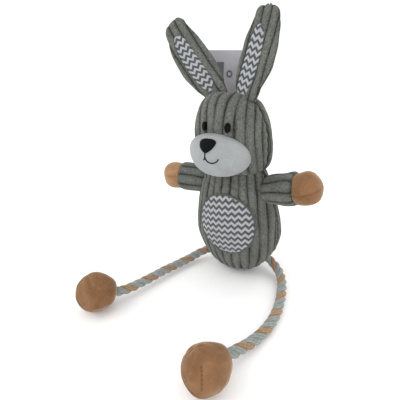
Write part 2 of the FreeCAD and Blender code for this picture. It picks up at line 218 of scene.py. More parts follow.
# ---- materials
class Paint:
    """A node material with a few short helpers."""

    def __init__(self, name, **sockets):
        self.material = bpy.data.materials.new(name)
        self.material.use_nodes = True
        self.tree = self.material.node_tree
        self.shader = self.tree.nodes["Principled BSDF"]
        for key, number in sockets.items():
            self.shader.inputs[key.replace("_", " ")].default_value = number

    def node(self, kind, **settings):
        made = self.tree.nodes.new("ShaderNode" + kind)
        for key, setting in settings.items():
            setattr(made, key, setting)
        return made

    def feed(self, socket, source):
        if isinstance(source, bpy.types.NodeSocket):
            self.tree.links.new(source, socket)
        else:
            socket.default_value = source

    def math(self, operation, a, b=0.0):
        made = self.node("Math", operation=operation)
        self.feed(made.inputs[0], a)
        self.feed(made.inputs[1], b)
        return made.outputs[0]

    def fact(self, name):
        return self.node("Attribute", attribute_name=name)

    def apart(self):
        """The three numbers of the fact fab."""
        made = self.node("SeparateXYZ")
        self.tree.links.new(self.fact("fab").outputs["Vector"], made.inputs[0])
        return made.outputs

    def noise(self, scale, detail=2.0, roughness=0.5, vector=None, distortion=0.0):
        made = self.node("TexNoise")
        made.inputs["Scale"].default_value = scale
        made.inputs["Detail"].default_value = detail
        made.inputs["Roughness"].default_value = roughness
        made.inputs["Distortion"].default_value = distortion
        if vector is None:
            vector = self.node("TexCoord").outputs["Object"]
        self.tree.links.new(vector, made.inputs["Vector"])
        return made.outputs["Fac"]

    def stretch(self, vector, x, y, z):
        made = self.node("Mapping")
        made.inputs["Scale"].default_value = (x, y, z)
        self.tree.links.new(vector, made.inputs["Vector"])
        return made.outputs["Vector"]

    def ramp(self, factor, stops):
        made = self.node("ValToRGB")
        bar = made.color_ramp.elements
        while len(bar) < len(stops):
            bar.new(0.5)
        for element, (place, colour) in zip(bar, stops):
            element.position = place
            element.color = (*colour, 1)
        self.feed(made.inputs["Fac"], factor)
        return made.outputs["Color"]

    def mix(self, factor, a, b, blend="MIX"):
        made = self.node("Mix", data_type="RGBA", blend_type=blend)
        self.feed(made.inputs[0], factor)
        for socket, source in ((made.inputs[6], a), (made.inputs[7], b)):
            self.feed(socket, (*source, 1) if isinstance(source, tuple) and len(source) == 3 else source)
        return made.outputs[2]

    def tone(self, strength, shade, source, *stops, blend="OVERLAY"):
        """Lightens and darkens a colour by a pattern. stops are pairs of place and grey."""
        return self.mix(strength, shade, self.ramp(source, [(at, (grey,) * 3) for at, grey in stops]), blend)

    def bump(self, height, distance, strength=1.0, under=None):
        made = self.node("Bump")
        made.inputs["Strength"].default_value = strength
        made.inputs["Distance"].default_value = distance
        self.tree.links.new(height, made.inputs["Height"])
        if under is not None:
            self.tree.links.new(under, made.inputs["Normal"])
        return made.outputs["Normal"]

    def finish(self, colour=None, normal=None, roughness=None):
        if colour is not None:
            self.feed(self.shader.inputs["Base Color"], colour)
        if normal is not None:
            self.tree.links.new(normal, self.shader.inputs["Normal"])
        if roughness is not None:
            self.feed(self.shader.inputs["Roughness"], roughness)
        return self.material


def corduroy_paint(name):
    """Cut-pile ribs with fine pile all over. The colour is lighter on the rib tops and dark in the grooves and
    along the seams: painted shade, read from the fact rib.
    """
    p = Paint(name, Roughness=0.92, Sheen_Weight=0.2, Sheen_Roughness=0.45, Sheen_Tint=(0.84, 0.86, 0.78, 1),
              Specular_IOR_Level=0.15)
    rib = p.fact("rib").outputs["Fac"]
    # Dark in the grooves, lighter on the rib tops: painted shade.
    base = p.ramp(rib, [(0.0, (0.006, 0.0063, 0.0058)), (0.26, (0.030, 0.0315, 0.0285)),
                        (0.56, (0.068, 0.071, 0.064)), (1.0, (0.112, 0.116, 0.105))])
    cloth = p.fact("fab").outputs["Vector"]
    streak = p.noise(1.0, 3.0, 0.6, p.stretch(cloth, 1.1, 0.42, 1.1))
    fleck = p.noise(720.0, 3.0, 0.62, None, 0.6)
    patchy = p.noise(38.0, 3.0, 0.55)
    fuzz = p.noise(1500.0, 2.0, 0.7)
    streaks = p.ramp(streak, [(0.30, (0.12, 0.12, 0.11)), (0.72, (0.90, 0.90, 0.87))])
    shade = p.mix(0.3, base, streaks, "SOFT_LIGHT")
    shade = p.tone(0.35, shade, patchy, (0.3, 0.3), (0.7, 0.7))
    flecks = p.ramp(fleck, [(0.34, (0.20, 0.20, 0.20)), (0.47, (0.5, 0.5, 0.5)), (0.68, (0.72, 0.72, 0.71))])
    shade = p.mix(0.75, shade, flecks, "OVERLAY")
    shade = p.tone(0.35, shade, fuzz, (0.25, 0.25), (0.75, 0.78))
    tuft = p.noise(1.0, 2.0, 0.6, p.stretch(cloth, 3.2, 1.5, 3.2))
    normal = p.bump(tuft, 0.00035, 0.55)
    normal = p.bump(fleck, 0.0005, 0.6, normal)
    normal = p.bump(fuzz, 0.00022, 0.55, normal)
    return p.finish(shade, normal)


def velour_paint(name, low, mid, high, sheen=0.6, tint=(1, 0.9, 0.8), grain=0.45):
    """Short plush pile: a brushed, slightly blotchy surface with a soft bright rim."""
    p = Paint(name, Roughness=0.85, Sheen_Weight=sheen, Sheen_Roughness=0.38, Sheen_Tint=(*tint, 1),
              Specular_IOR_Level=0.12)
    brushed = p.noise(70.0, 4.0, 0.6, None, 0.8)
    fine = p.noise(1700.0, 2.0, 0.75)
    base = p.ramp(brushed, [(0.28, low), (0.5, mid), (0.74, high)])
    shade = p.tone(grain, base, fine, (0.25, 0.28), (0.75, 0.74))
    # Darker along seams and round a pad's rim: painted shade in the seam creases. The dashes along the left foot's
    # closing row mark its stitches.
    line = p.fact("seam").outputs["Fac"]
    shade = p.mix(p.math("MULTIPLY", line, 0.35), shade, tuple(c * 0.5 for c in low))
    normal = p.bump(brushed, 0.0009, 0.35)
    normal = p.bump(fine, 0.00022, 0.6, normal)
    return p.finish(shade, normal)


THREAD = 0.55        # between the threads of the plain weave
FAR_OFF = 500.0      # keeps the zigzag's counting above 0 all over the cloth


def zigzag_paint(name, row, run, reach):
    """Printed zigzag rows on plain-woven cotton. fab holds millimetres across and along the cloth."""
    p = Paint(name, Roughness=0.8, Sheen_Weight=0.12, Sheen_Roughness=0.5, Specular_IOR_Level=0.2)
    across, along = p.apart()[:2]
    wobble = p.math("MULTIPLY", p.math("SUBTRACT", p.noise(260.0, 2.0), 0.5), 0.9)
    teeth = p.math("PINGPONG", p.math("ADD", across, FAR_OFF), run / 2)
    wave = p.math("MULTIPLY", teeth, reach / (run / 2))
    place = p.math("ADD", p.math("SUBTRACT", along, wave), p.math("ADD", wobble, FAR_OFF))
    place = p.math("DIVIDE", place, row)
    cycle = p.math("PINGPONG", place, 0.5)
    ink = p.ramp(p.math("MULTIPLY", cycle, 2.0), [(0.45, (0.064, 0.068, 0.072)), (0.56, (0.335, 0.347, 0.358))])
    threads = p.math("MULTIPLY", p.math("SINE", p.math("MULTIPLY", across, TAU / THREAD)),
                     p.math("SINE", p.math("MULTIPLY", along, TAU / THREAD)))
    weave = p.math("ADD", p.math("MULTIPLY", threads, 0.5), 0.5)
    fuzz = p.noise(900.0, 3.0, 0.7)
    shade = p.tone(0.30, ink, fuzz, (0.3, 0.3), (0.7, 0.75))
    shade = p.tone(0.15, shade, weave, (0.0, 0.25), (1.0, 0.75))
    normal = p.bump(weave, 0.00012, 0.5)
    normal = p.bump(fuzz, 0.00012, 0.4, normal)
    return p.finish(shade, normal)


def thread_paint(name, colour, shine=0.35, pitch=0.45):
    """Satin stitching: close parallel threads."""
    p = Paint(name, Roughness=0.55, Specular_IOR_Level=shine)
    lines = p.math("SINE", p.math("MULTIPLY", p.apart()[0], TAU / pitch))
    height = p.math("ADD", p.math("MULTIPLY", lines, 0.5), 0.5)
    fuzz = p.noise(1100.0, 2.0)
    # Darker in the gaps between threads: painted shade.
    dark = tuple(c * 0.45 for c in colour)
    shade = p.mix(p.math("MULTIPLY", height, 0.8), dark, colour)
    shade = p.tone(0.25, shade, fuzz, (0.3, 0.3), (0.7, 0.8))
    normal = p.bump(height, 0.00014, 0.8)
    return p.finish(shade, p.bump(fuzz, 0.00008, 0.4, normal))


def rope_paint(name, low, high):
    """Twisted cotton yarn with short loose fibres."""
    p = Paint(name, Roughness=0.9, Sheen_Weight=0.25, Sheen_Roughness=0.5, Specular_IOR_Level=0.1)
    yarn = p.fact("yarn").outputs["Fac"]
    fibre = p.noise(420.0, 4.0, 0.7, None, 0.6)
    fine = p.noise(2200.0, 2.0, 0.7)
    # Darker between the yarns and lighter on their crowns: painted shade.
    shade = p.mix(p.math("MULTIPLY", yarn, 0.9), low, high)
    shade = p.tone(0.5, shade, fibre, (0.3, 0.22), (0.72, 0.8))
    normal = p.bump(fibre, 0.0003, 0.5)
    return p.finish(shade, p.bump(fine, 0.0002, 0.5, normal))


def plastic_paint(name, colour, rough=0.4, alpha=1.0):
    p = Paint(name, Roughness=rough, Alpha=alpha)
    speck = p.noise(300.0, 3.0)
    shade = p.tone(0.2, (*colour, 1), speck, (0.3, 0.4), (0.7, 0.6))
    return p.finish(shade, p.bump(speck, 0.00005, 0.3))


PANEL = 14.4, 17.8, 3.4, 6.3      # on the card: middle, half width and half height
RING = 23.4, 15.1, 2.2, 0.75      # middle, radius and half thickness


def card_paint(name):
    """Coated card: faint mottling, with a plain printed panel and ring on it."""
    p = Paint(name, Roughness=0.5, Specular_IOR_Level=0.35)
    mottled = p.noise(90.0, 4.0, 0.6)
    grain = p.noise(1200.0, 2.0)
    shade = p.ramp(mottled, [(0.3, (0.355, 0.35, 0.375)), (0.7, (0.42, 0.415, 0.44))])
    place = p.apart()
    aside = [p.math("ABSOLUTE", p.math("SUBTRACT", place[k], PANEL[k])) for k in range(2)]
    inside = [p.math("LESS_THAN", aside[k], PANEL[k + 2]) for k in range(2)]
    panel = p.math("MULTIPLY", *inside)
    away = [p.math("POWER", p.math("SUBTRACT", place[k], RING[k]), 2.0) for k in range(2)]
    far = p.math("SQRT", p.math("ADD", *away))
    ring = p.math("LESS_THAN", p.math("ABSOLUTE", p.math("SUBTRACT", far, RING[2])), RING[3])
    in_front = p.math("LESS_THAN", place[2], 0.05)
    mark = p.math("MULTIPLY", p.math("MAXIMUM", panel, ring), in_front)
    shade = p.mix(p.math("MULTIPLY", mark, 0.88), shade, (0.075, 0.075, 0.09))
    return p.finish(shade, p.bump(grain, 0.00003, 0.4))


CORD = corduroy_paint("corduroy")
TAN = velour_paint("tan_velour", (0.148, 0.073, 0.033), (0.200, 0.101, 0.048), (0.268, 0.140, 0.070),
                   0.55, (1.0, 0.86, 0.66))
# A lighter copy of the tan velour for the right paw: painted light, as that paw, further off, catches more light.
TAN_PAINTED_LIGHT = velour_paint("tan_velour_painted_light", (0.23, 0.128, 0.062), (0.31, 0.178, 0.090),
                       (0.40, 0.24, 0.130), 0.6, (1.0, 0.88, 0.7))
PALE = velour_paint("muzzle_velour", (0.272, 0.283, 0.284), (0.308, 0.32, 0.321), (0.345, 0.357, 0.358),
                    0.2, (1, 1, 1), 0.25)
ZIGZAG = zigzag_paint("zigzag_cotton", 5.75, 5.9, 3.0)
SMALL_ZIGZAG = zigzag_paint("ear_zigzag_cotton", 4.9, 5.0, 2.6)
BLACK = thread_paint("black_satin", (0.005, 0.005, 0.0065), 0.07)
LINE = thread_paint("mouth_thread", (0.016, 0.018, 0.022), 0.1)
EDGE = thread_paint("edge_thread", (0.135, 0.140, 0.134), 0.1, 0.9)
GREY_STRAND = rope_paint("grey_strand", (0.125, 0.136, 0.129), (0.325, 0.345, 0.325))
TAN_STRAND = rope_paint("tan_strand", (0.18, 0.108, 0.056), (0.37, 0.235, 0.13))
CARD = card_paint("tag_card")
CLEAR = plastic_paint("tag_loop_plastic", (0.62, 0.62, 0.62), 0.25, 0.75)
SQUEAK = plastic_paint("squeaker_plastic", (0.72, 0.72, 0.68), 0.45)


def dress(thing, *materials):
    faces = np.zeros(len(thing.data.polygons), np.int32)
    thing.data.polygons.foreach_get("material_index", faces)
    thing.data.materials.clear()
    for material in materials:
        thing.data.materials.append(material)
    thing.data.polygons.foreach_set("material_index", np.minimum(faces, len(materials) - 1))
    return thing


# ---- the stuffed shapes
SQUARE = 2.25      # how much a cross-section fills out towards a rectangle


class Surface:
    """Something with at(s, z), its points, and a small distance over which its slope is taken."""

    small = 0.3

    def out(self, s, z):
        """Outward direction of the smooth surface."""
        e = self.small
        return unit(np.cross(self.at(s + e, z) - self.at(s - e, z), self.at(s, z + e) - self.at(s, z - e)))


class Sack(Surface):
    """A stuffed shape with oval cross-sections: pairs of height and half width, how flat, and how it leans."""

    small = 0.35
    step, around = 0.62, 400

    def __init__(self, profile, flat, lean):
        heights, widths = (np.array(column, float) for column in zip(*profile))
        self.flat, self.lean = flat, lean
        run = running(np.hypot(np.diff(heights), np.diff(widths)))
        rows = np.linspace(0, run[-1], int(run[-1] / self.step))[1:-1]
        self.z = curve_through(run, heights, rows)
        self.a = np.maximum(curve_through(run, widths, rows), 0.25)
        upright = np.concatenate([[True], np.diff(self.z) > 1e-4])
        self.table_z, self.table_a = self.z[upright], self.a[upright]
        self.angles = np.linspace(0, TAU, 2881)
        self.lengths = running(step_lengths(self.outline(self.angles)))
        self.total = self.lengths[-1]

    def outline(self, angle):
        """Points round a section of half width 1, from the front, towards +X."""
        power = 2 / SQUARE
        return np.stack([rounded(np.sin(angle), power), -self.flat * rounded(np.cos(angle), power)], -1)

    def width(self, z):
        return np.interp(z, self.table_z, self.table_a)

    def at(self, s, z):
        """The smooth surface at s millimetres round from the front middle, at height z."""
        s, z = np.broadcast_arrays(np.asarray(s, float), np.asarray(z, float))
        a = self.width(z)
        turn = np.interp((s / a) % self.total, self.lengths, self.angles)
        flat = self.outline(turn)
        return np.stack([flat[..., 0] * a, flat[..., 1] * a + self.lean(z), z], -1)

    def grid(self):
        """The whole surface: points, distance round from the nearer of front and back middle, distance from
        a side seam, and whether a point is on the back."""
        place = np.arange(self.around) / self.around * self.total
        turn = np.interp(place, self.lengths, self.angles)
        flat = self.outline(turn)
        points = np.empty((len(self.z), self.around, 3))
        points[..., :2] = self.a[:, None, None] * flat[None]
        points[..., 1] += self.lean(self.z)[:, None]
        points[..., 2] = self.z[:, None]
        near = np.minimum(place, self.total - place)
        side = near - self.total / 4
        from_front = np.where(place < self.total / 2, place, place - self.total)
        from_middle = np.where(side < 0, from_front, np.sign(from_front) * (self.total / 2 - near))
        a = self.a[:, None]
        return points, from_middle[None] * a, np.abs(side)[None] * a, (side > 0)[None]


def body_lean(z):
    return -0.134 * np.asarray(z, float) - 4.5 * (1 - fade(z, 0.0, 34.0))


def head_lean(z):
    return -13.6 - 0.19 * (np.asarray(z, float) - 104.0)


BODY = Sack([(0.0, 0.0), (0.0, 4.5), (0.1, 7.4), (1.2, 11.0), (3.2, 15.2), (6.2, 19.8), (10.6, 24.8), (16.4, 29.8),
             (23.6, 34.4), (33.6, 38.4), (44.0, 40.2), (55.0, 39.6), (66.0, 37.9), (76.0, 35.8), (86.0, 33.2),
             (94.0, 30.8), (100.0, 28.2), (104.0, 26.2), (107.0, 24.8), (110.0, 24.0), (113.0, 22.0),
             (115.0, 16.0), (116.0, 0.0)], 0.79, body_lean)
HEAD = Sack([(104.5, 0.0), (104.6, 12.0), (105.6, 20.5), (108.0, 25.2), (112.0, 28.4), (118.0, 30.2),
             (128.0, 31.3), (138.0, 30.8), (146.0, 29.4), (152.0, 27.6), (158.0, 24.8), (163.0, 21.0),
             (166.5, 16.4), (168.6, 10.6), (169.5, 5.0), (169.7, 0.0)], 0.92, head_lean)


def body_ribs(s, a):
    """Counts ribs round the body. They draw together where it narrows."""
    return s * (40.3 / np.maximum(a, 18.0)) ** 0.6 / 8.9 + 0.09


def head_ribs(s, a):
    return np.where(s > -0.8, (s + 0.8) / 8.1, (s + 0.8) / 7.5)


NECK_GATHER = 97.0


def ribbed(name, sack, seed, calm, ribs, high=1.5, floor=None, dip=0.0):
    """A cover with ribs straight up each panel, drawn in along the side seams. calm(points) is 0 where they
    lie flat, and dip is how far in they lie there. floor is for a cover that sits on its base."""
    points, s, from_seam, back = sack.grid()
    z = points[..., 2]
    place = ribs(np.where(back, s + 2.6, s), sack.a[:, None])
    number = np.floor(place)
    wander = 0.05 * np.sin(z / 11.0 + number * 2.1) + 0.035 * np.sin(z / 5.3 + number * 4.7)
    rib = ridge(place + wander)
    uneven = 1 + 0.16 * np.sin(number * 1.7 + z / 23.0 + seed)
    seam = bell(from_seam, 1.5)
    level = calm(points)
    size = clamp(sack.a / 14.0)[:, None]
    gather = np.exp(-from_seam / 5.0) * np.sin(z * TAU / 7.5 + seed) * 0.45
    ribs_high = high * uneven * (rib - 0.45) * level * (1 - 0.8 * seam)
    height = (ribs_high + gather - 1.5 * seam) * size - dip * (1 - level)
    height += 0.7 * lumps(points, 34.0, seed) * size
    if floor is not None:
        height -= 5.5 * (1 - rib) * (1 - fade(z, 6.0, 21.0)) * size
        neck = bell(z - NECK_GATHER + 2.0 * np.sin(number * 2.4), 1.6)
        height -= 0.9 * neck * (0.4 + 0.6 * rib)
    points = points + grid_normals(points) * height[..., None]
    if floor is not None:
        points[..., 2] = np.maximum(points[..., 2], floor + 0.12 * (1 - rib))
    # The colour's rib fact: darker in the grooves and lowered along the side seams, as painted shade.
    rib_shade = clamp(rib * level + (1 - level) * 0.55) * (1 - 0.85 * seam)
    return dress(closed_grid(name, points, {"rib": rib_shade, "fab": on_cloth(s, z)}), CORD)


BELLY_S, BELLY_Z, BELLY_WIDE, BELLY_TALL = 3.2, 60.0, 26.9, 28.2
LOOP_FOOT = np.array((-6.0, -7.0, 166.2))      # where the tag's loop goes into the head


def body_calm(points):
    """The ribs lie flat under the belly pad."""
    high = points[..., 2] - BELLY_Z
    aside = (points[..., 0] - BELLY_S * 0.97) / (BELLY_WIDE - 1.6)
    over = np.hypot(aside, high / (BELLY_TALL + 1.8 * (high > 0)))
    front = points[..., 1] < body_lean(points[..., 2])
    return np.where(front, fade(over, 0.94, 1.05), 1.0)


def head_calm(points):
    """The cover dips where the tag's loop goes in."""
    return fade(np.linalg.norm(points - LOOP_FOOT, axis=-1), 3.0, 9.0)


body_cover = ribbed("body_cover", BODY, 3, body_calm, body_ribs, 1.6, 0.03)
head_cover = ribbed("head_cover", HEAD, 5, head_calm, head_ribs, dip=1.8)


# ---- pads sewn on
def pad_on(name, under, rim, middle, rise, edge, material, fall=2.4, rings=70, around=240, lift=0.2,
           push=None, slant=0.0):
    """A closed pad on a surface. rim(angle) gives its edge from middle; rise is its swell in the middle and
    edge its height at the rim."""
    outline = rim(around_turn(around))
    share = np.sin(np.linspace(0.012, 0.5, rings) * math.pi)[:, None]
    s = middle[0] + share * outline[None, :, 0]
    z = middle[1] + share * outline[None, :, 1]
    ground, out = under.at(s, z), under.out(s, z)
    swell = lift + edge * fade(1 - share, 0.0, 0.045) ** 0.5 + rise * clamp(1 - share**fall) ** 0.5
    top = ground + out * swell[..., None]
    if push is not None:
        top = push(top, s, share)
    grid = np.concatenate([top, (ground - out * 0.7)[::-1]])[::-1]

    def both(data):
        return np.concatenate([data, data[::-1]])[::-1]

    # seam rises to 1 at the rim; the velour reads it as painted shade.
    facts = {"fab": on_cloth(both(s), both(z + slant * s)), "seam": both(np.repeat(share, around, 1)) ** 24}
    return dress(closed_grid(name, grid, facts), material)


def oval(half_s, half_z, square=2.0, egg=0.0):
    """An oval rim. egg makes it wider above its middle than below."""
    def rim(angle):
        c, s = np.cos(angle), np.sin(angle)
        wide = half_s * rounded(c, 2 / square) * (1 + egg * s)
        return np.stack([wide, half_z * rounded(s, 2 / square)], -1)
    return rim


belly = pad_on("belly_patch_cloth", BODY, oval(BELLY_WIDE, BELLY_TALL), (BELLY_S, BELLY_Z), 0.5, 0.55,
               ZIGZAG, slant=-0.15)


class Muzzle(Surface):
    """The plump muzzle's outer surface over the head, for the pad itself and what is stitched on it."""

    S, Z, WIDE, UP, DOWN = -0.3, 124.2, 27.4, 17.4, 15.4
    RISE, EDGE, FORWARD, FALL = 8.2, 1.4, 6.0, 2.6

    def rim(self, angle):
        c, s = np.cos(angle), np.sin(angle)
        tall = np.where(s > 0, self.UP, self.DOWN)
        return np.stack([self.WIDE * c, tall * s], -1)

    def share(self, s, z):
        up = z - self.Z
        return np.hypot((s - self.S) / self.WIDE, up / np.where(up > 0, self.UP, self.DOWN))

    def push(self, top, s, share):
        full = clamp(1 - share**2.2)
        forward = self.FORWARD * bell(s, 21.0) * full
        top = top + np.stack([np.zeros_like(forward), -forward, np.zeros_like(forward)], -1)
        return top + (0.35 * lumps(top, 22.0, 8) * full)[..., None] * np.array([0, -1, 0.2])

    def at(self, s, z):
        s, z = np.broadcast_arrays(np.asarray(s, float), np.asarray(z, float))
        share = clamp(self.share(s, z))
        swell = 0.2 + self.EDGE * fade(1 - share, 0.0, 0.045) ** 0.5
        swell = swell + self.RISE * clamp(1 - share**self.FALL) ** 0.5
        return self.push(HEAD.at(s, z) + HEAD.out(s, z) * swell[..., None], s, share)


MUZZLE = Muzzle()
muzzle = pad_on("muzzle_pad", HEAD, MUZZLE.rim, (MUZZLE.S, MUZZLE.Z), MUZZLE.RISE, MUZZLE.EDGE, PALE,
                fall=MUZZLE.FALL, push=MUZZLE.push)


# ---- stitching
def tube_rings(points, radius, stitch=0.0, around=10, closed=False):
    """A fine thread along points, pinched between stitches, for rings_mesh."""
    points = np.asarray(points, float)
    ahead = np.roll(points, -1, 0) - np.roll(points, 1, 0) if closed else np.gradient(points, axis=0)
    ahead = unit(ahead)
    run = running(step_lengths(points))
    side = unit(np.cross(ahead, [0.13, -0.97, 0.21]))
    over = np.cross(ahead, side)
    size = np.full(len(run), float(radius))
    if stitch:
        size *= 1 - 0.3 * np.abs(np.cos(math.pi * run / stitch)) ** 6
    angle = around_turn(around)
    ring = side[:, None] * np.cos(angle)[None, :, None] + over[:, None] * np.sin(angle)[None, :, None]
    fab = on_cloth(run[:, None], angle[None])
    return rings_mesh(points[:, None] + ring * size[:, None, None], {"fab": fab}, closed)


def above(surface, s, z, lift):
    return surface.at(s, z) + surface.out(s, z) * lift


nose = pad_on("nose_stitching", MUZZLE, oval(5.1, 4.2, 2.35, 0.56), (0.3, 135.0), 1.1, 0.5, BLACK,
              fall=3.2, rings=34, around=120, lift=0.1)
eyes = [pad_on(name, HEAD, oval(*size), (s, 146.2), 0.5, 0.9, BLACK, fall=3.0, rings=22, around=72, lift=0.8)
        for name, s, size in (("left_eye_stitching", 10.9, (2.3, 3.7)),
                              ("right_eye_stitching", -9.0, (1.6, 3.3)))]

LIP_TOP, LIP_Z, LIP_RAD = 132.5, 129.0, 4.4


def lip_thread(s, z):
    return tube_rings(above(MUZZLE, s, z, 0.16), 0.5, 2.0)


def lip_arc(side, first, last, count):
    """A stretch of the circle that touches the middle from one side."""
    turn = np.radians(np.linspace(first, last, count))
    return lip_thread(side * LIP_RAD + LIP_RAD * np.cos(turn), LIP_Z + LIP_RAD * np.sin(turn))


mouth = together("mouth_stitching_thread", [lip_thread(np.zeros(24), np.linspace(LIP_TOP, LIP_Z, 24)),
                                            lip_arc(1, 180, 338, 70), lip_arc(-1, 0, -38, 24)], [LINE])

around_belly = oval(BELLY_WIDE + 0.5, BELLY_TALL + 0.5)(around_turn(420))
belly_line = above(BODY, BELLY_S + around_belly[:, 0], BELLY_Z + around_belly[:, 1], 0.45)
border = together("belly_border_stitching", [tube_rings(belly_line, 0.95, 1.6, 12, True)], [EDGE])


# ---- limbs in their own axes
def aim(where, along, facing):
    """A part's own place and axes: the third runs along a direction, and the second turns from facing."""
    up = unit(along)
    side = unit(np.cross(facing, up))
    return np.array(where, float), np.stack([side, np.cross(up, side), up])


def placed(axes, local):
    return axes[0] + local @ axes[1]


CLOTH_SCALE = 10 * MM      # the simulation runs at ten times the size, where the solver is steady
START_SMALLER = 1.0        # the piece starts this much smaller,
CLOTH_CAP = 1.2            # and no point moves further than this
COARSE_RINGS, SKIP = 16, 6
CLOTH_FRAMES = 20


def swollen(points, held):
    """How far a stuffed piece's rings of points move when a coarse copy of them is blown up as cloth.
    held(points) says which points its seams keep in place."""
    rings, around = points.shape[:2]
    rows = np.unique(np.linspace(0, rings - 1, COARSE_RINGS).astype(int))
    coarse = points[rows][:, ::SKIP]
    found, faces, _ = rings_mesh(coarse)
    mesh = bpy.data.meshes.new("cloth")
    mesh.from_pydata((found * CLOTH_SCALE).tolist(), [], faces)
    thing = linked("cloth", mesh)
    pins = thing.vertex_groups.new(name="held")
    pins.add([int(n) for n in np.flatnonzero(held(found))], 1.0, "REPLACE")
    cloth = thing.modifiers.new("cloth", "CLOTH")
    for key, number in {"quality": 6, "mass": 0.003, "tension_stiffness": 5, "compression_stiffness": 5,
                        "bending_stiffness": 0.05, "use_pressure": True, "uniform_pressure_force": 400.0,
                        "vertex_group_mass": "held"}.items():
        setattr(cloth.settings, key, number)
    cloth.settings.effector_weights.gravity = 0
    cloth.point_cache.frame_start, cloth.point_cache.frame_end = 1, CLOTH_FRAMES
    scene = bpy.context.scene
    for moment in range(1, CLOTH_FRAMES + 1):
        scene.frame_set(moment)
    now = evaluated_points(thing, CLOTH_SCALE)
    scene.frame_set(1)
    bpy.data.objects.remove(thing)
    bpy.data.meshes.remove(mesh)
    step = (now - found)[:coarse.shape[0] * coarse.shape[1]].reshape(coarse.shape)
    far = np.linalg.norm(step, axis=-1, keepdims=True)
    step = step * np.minimum(1, CLOTH_CAP / np.maximum(far, 1e-9))
    turn = np.arange(around) / SKIP
    low = turn.astype(int) % coarse.shape[1]
    part = (turn % 1)[None, :, None]
    wide = step[:, low] * (1 - part) + step[:, (low + 1) % coarse.shape[1]] * part
    full = np.empty(points.shape)
    for j in range(around):
        for k in range(3):
            full[:, j, k] = np.interp(np.arange(rings), rows, wide[:, j, k])
    for _ in range(3):
        full = (np.roll(full, 2, 1) + full + np.roll(full, -2, 1)) / 3
        edge = np.concatenate([full[:1], full[:1], full, full[-1:], full[-1:]])
        full = (edge[:-4] + edge[2:-2] + edge[4:]) / 3
    return full


def turned(name, axes, profile, material, step=0.55, around=150, ribs=0, seams=(), seed=1, shape=None,
           pinch=1.0, lump=0.5, phase=0.0, held=None):
    """A stuffed piece round its own axis. seams are the angles of its panel seams. held, if given, says
    which points stay in place when it is blown up as cloth."""
    places, radii = (np.array(column, float) for column in zip(*profile))
    run = running(np.hypot(np.diff(places), np.diff(radii)))
    rows = np.linspace(0, run[-1], int(run[-1] / step))[1:-1]
    w = curve_through(run, places, rows)
    r = np.maximum(curve_through(run, radii, rows), 0.15)
    angle = around_turn(around)
    local = np.stack([r[:, None] * np.cos(angle), r[:, None] * np.sin(angle),
                      np.repeat(w[:, None], around, 1)], -1)
    out = grid_normals(local)
    size = clamp(r / 9.0)[:, None]
    if held is not None:
        local = local - out * START_SMALLER * size[..., None]
        local = local + swollen(local, held)
        out = grid_normals(local)
    height = lump * lumps(local, 19.0, seed) * size
    seam = np.zeros_like(height)
    for at in seams:
        gap = np.abs((angle - at + math.pi) % TAU - math.pi)[None] * r[:, None]
        seam = np.maximum(seam, bell(gap, 0.75))
        height -= pinch * (bell(gap, 1.5) + 0.25 * np.exp(-gap / 4.5)) * size
        height += 0.22 * np.exp(-gap / 2.6) * np.sin(w[:, None] * TAU / 3.4 + seed) * size
    facts = {"fab": on_cloth(angle[None] * r[:, None], w[:, None])}
    if ribs:
        wander = 0.05 * np.sin(w[:, None] / 6.0 + seed + angle[None] * 3)
        rib = ridge(angle[None] * ribs / TAU + wander + phase)
        height += 1.2 * (rib - 0.45) * size
        # The colour's rib fact, lowered along the seams: painted shade in the grooves and seams.
        facts["rib"] = clamp(rib) * (1 - 0.7 * seam)
    if shape is not None:
        more, line = shape(local)
        height += more
        seam = np.maximum(seam, line)
    # seam marks the seams and stitch rows; the velour darkens them as painted shade.
    facts["seam"] = seam
    return dress(closed_grid(name, placed(axes, local + out * height[..., None]), facts), material)


